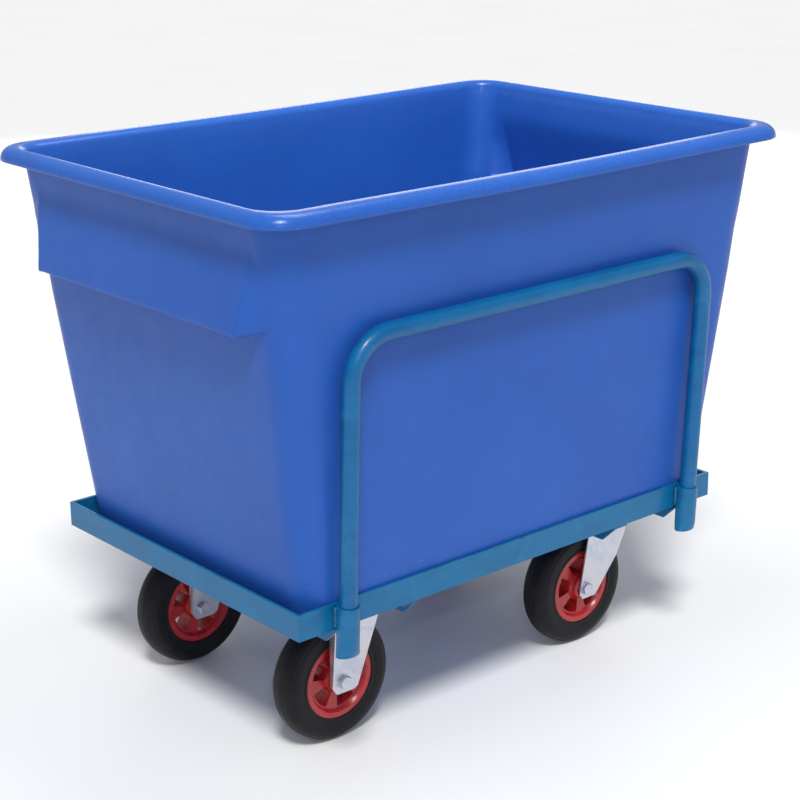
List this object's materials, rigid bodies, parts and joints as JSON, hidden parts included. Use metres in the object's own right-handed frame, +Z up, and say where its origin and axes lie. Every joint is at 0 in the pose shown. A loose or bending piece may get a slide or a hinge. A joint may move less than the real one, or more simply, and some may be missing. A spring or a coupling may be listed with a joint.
{
  "type": "wheeled bin",
  "caption": "Tapered open plastic bin with a rolled rim, standing in a low steel angle frame on fixed and swivel casters, with a tubular push hoop on one long side.",
  "frame": {"origin": "on the floor under the middle of the rim", "axes": "+X along the bin towards the swivel casters, +Y away from the push hoop, +Z up"},
  "size_m": [1.038, 0.721, 0.864],
  "materials": {
    "tub_plastic": "smooth moulded, faintly waxy",
    "frame_paint": "semi-gloss enamel",
    "hoop_paint": "semi-gloss enamel",
    "zinc_steel": "bright zinc plate",
    "tyre_rubber": "satin black rubber",
    "centre_plastic": "glossy moulded red",
    "bearing_steel": "oiled steel"
  },
  "bodies": {
    "frame": {"near_side_rail": "frame_paint", "far_side_rail": "frame_paint", "left_end_rail": "frame_paint", "right_end_rail": "frame_paint", "left_outer_crossmember": "frame_paint", "left_inner_crossmember": "frame_paint", "right_inner_crossmember": "frame_paint", "right_outer_crossmember": "frame_paint", "left_handle_socket": "frame_paint", "right_handle_socket": "frame_paint", "near_fixed_top_plate": "zinc_steel", "near_fixed_plate_bolts": "zinc_steel", "near_fixed_fork": "zinc_steel", "near_fixed_bearing_sleeve": "bearing_steel", "near_fixed_axle_bolt": "zinc_steel", "near_fixed_axle_nut": "zinc_steel", "far_fixed_top_plate": "zinc_steel", "far_fixed_plate_bolts": "zinc_steel", "far_fixed_fork": "zinc_steel", "far_fixed_bearing_sleeve": "bearing_steel", "far_fixed_axle_bolt": "zinc_steel", "far_fixed_axle_nut": "zinc_steel", "near_swivel_top_plate": "zinc_steel", "near_swivel_plate_bolts": "zinc_steel", "near_swivel_kingpin": "zinc_steel", "far_swivel_top_plate": "zinc_steel", "far_swivel_plate_bolts": "zinc_steel", "far_swivel_kingpin": "zinc_steel"},
    "tub": {"tub_shell": "tub_plastic"},
    "hoop": {"handle_hoop": "hoop_paint"},
    "near_swivel": {"near_swivel_fork": "zinc_steel", "near_swivel_bearing_sleeve": "bearing_steel", "near_swivel_axle_bolt": "zinc_steel", "near_swivel_axle_nut": "zinc_steel", "near_swivel_ball_ring": "bearing_steel"},
    "far_swivel": {"far_swivel_fork": "zinc_steel", "far_swivel_bearing_sleeve": "bearing_steel", "far_swivel_axle_bolt": "zinc_steel", "far_swivel_axle_nut": "zinc_steel", "far_swivel_ball_ring": "bearing_steel"},
    "near_fixed_wheel": {"near_fixed_tyre": "tyre_rubber", "near_fixed_wheel_centre": "centre_plastic", "near_fixed_roller_bearing": "bearing_steel"},
    "far_fixed_wheel": {"far_fixed_tyre": "tyre_rubber", "far_fixed_wheel_centre": "centre_plastic", "far_fixed_roller_bearing": "bearing_steel"},
    "near_swivel_wheel": {"near_swivel_tyre": "tyre_rubber", "near_swivel_wheel_centre": "centre_plastic", "near_swivel_roller_bearing": "bearing_steel"},
    "far_swivel_wheel": {"far_swivel_tyre": "tyre_rubber", "far_swivel_wheel_centre": "centre_plastic", "far_swivel_roller_bearing": "bearing_steel"}
  },
  "joints": [
    {"name": "tub_lift", "type": "slide", "parent": "frame", "child": "tub", "axis": [0, 0, 1], "range_m": [0, 0.06]},
    {"name": "hoop_lift", "type": "slide", "parent": "frame", "child": "hoop", "axis": [0, -0.0436, 0.999], "range_m": [0, 0.08]},
    {"name": "near_fixed_spin", "type": "hinge", "parent": "frame", "child": "near_fixed_wheel", "pos_m": [-0.296, -0.179, 0.1], "axis": [0, 1, 0], "continuous": true},
    {"name": "near_swivel_turn", "type": "hinge", "parent": "frame", "child": "near_swivel", "pos_m": [0.28, -0.179, 0.2], "axis": [0, 0, 1], "continuous": true},
    {"name": "near_swivel_spin", "type": "hinge", "parent": "near_swivel", "child": "near_swivel_wheel", "pos_m": [0.226, -0.179, 0.1], "axis": [0, 1, 0], "continuous": true},
    {"name": "far_fixed_spin", "type": "hinge", "parent": "frame", "child": "far_fixed_wheel", "pos_m": [-0.296, 0.185, 0.1], "axis": [0, 1, 0], "continuous": true},
    {"name": "far_swivel_turn", "type": "hinge", "parent": "frame", "child": "far_swivel", "pos_m": [0.28, 0.185, 0.2], "axis": [0, 0, 1], "continuous": true},
    {"name": "far_swivel_spin", "type": "hinge", "parent": "far_swivel", "child": "far_swivel_wheel", "pos_m": [0.226, 0.185, 0.1], "axis": [0, 1, 0], "continuous": true}
  ]
}
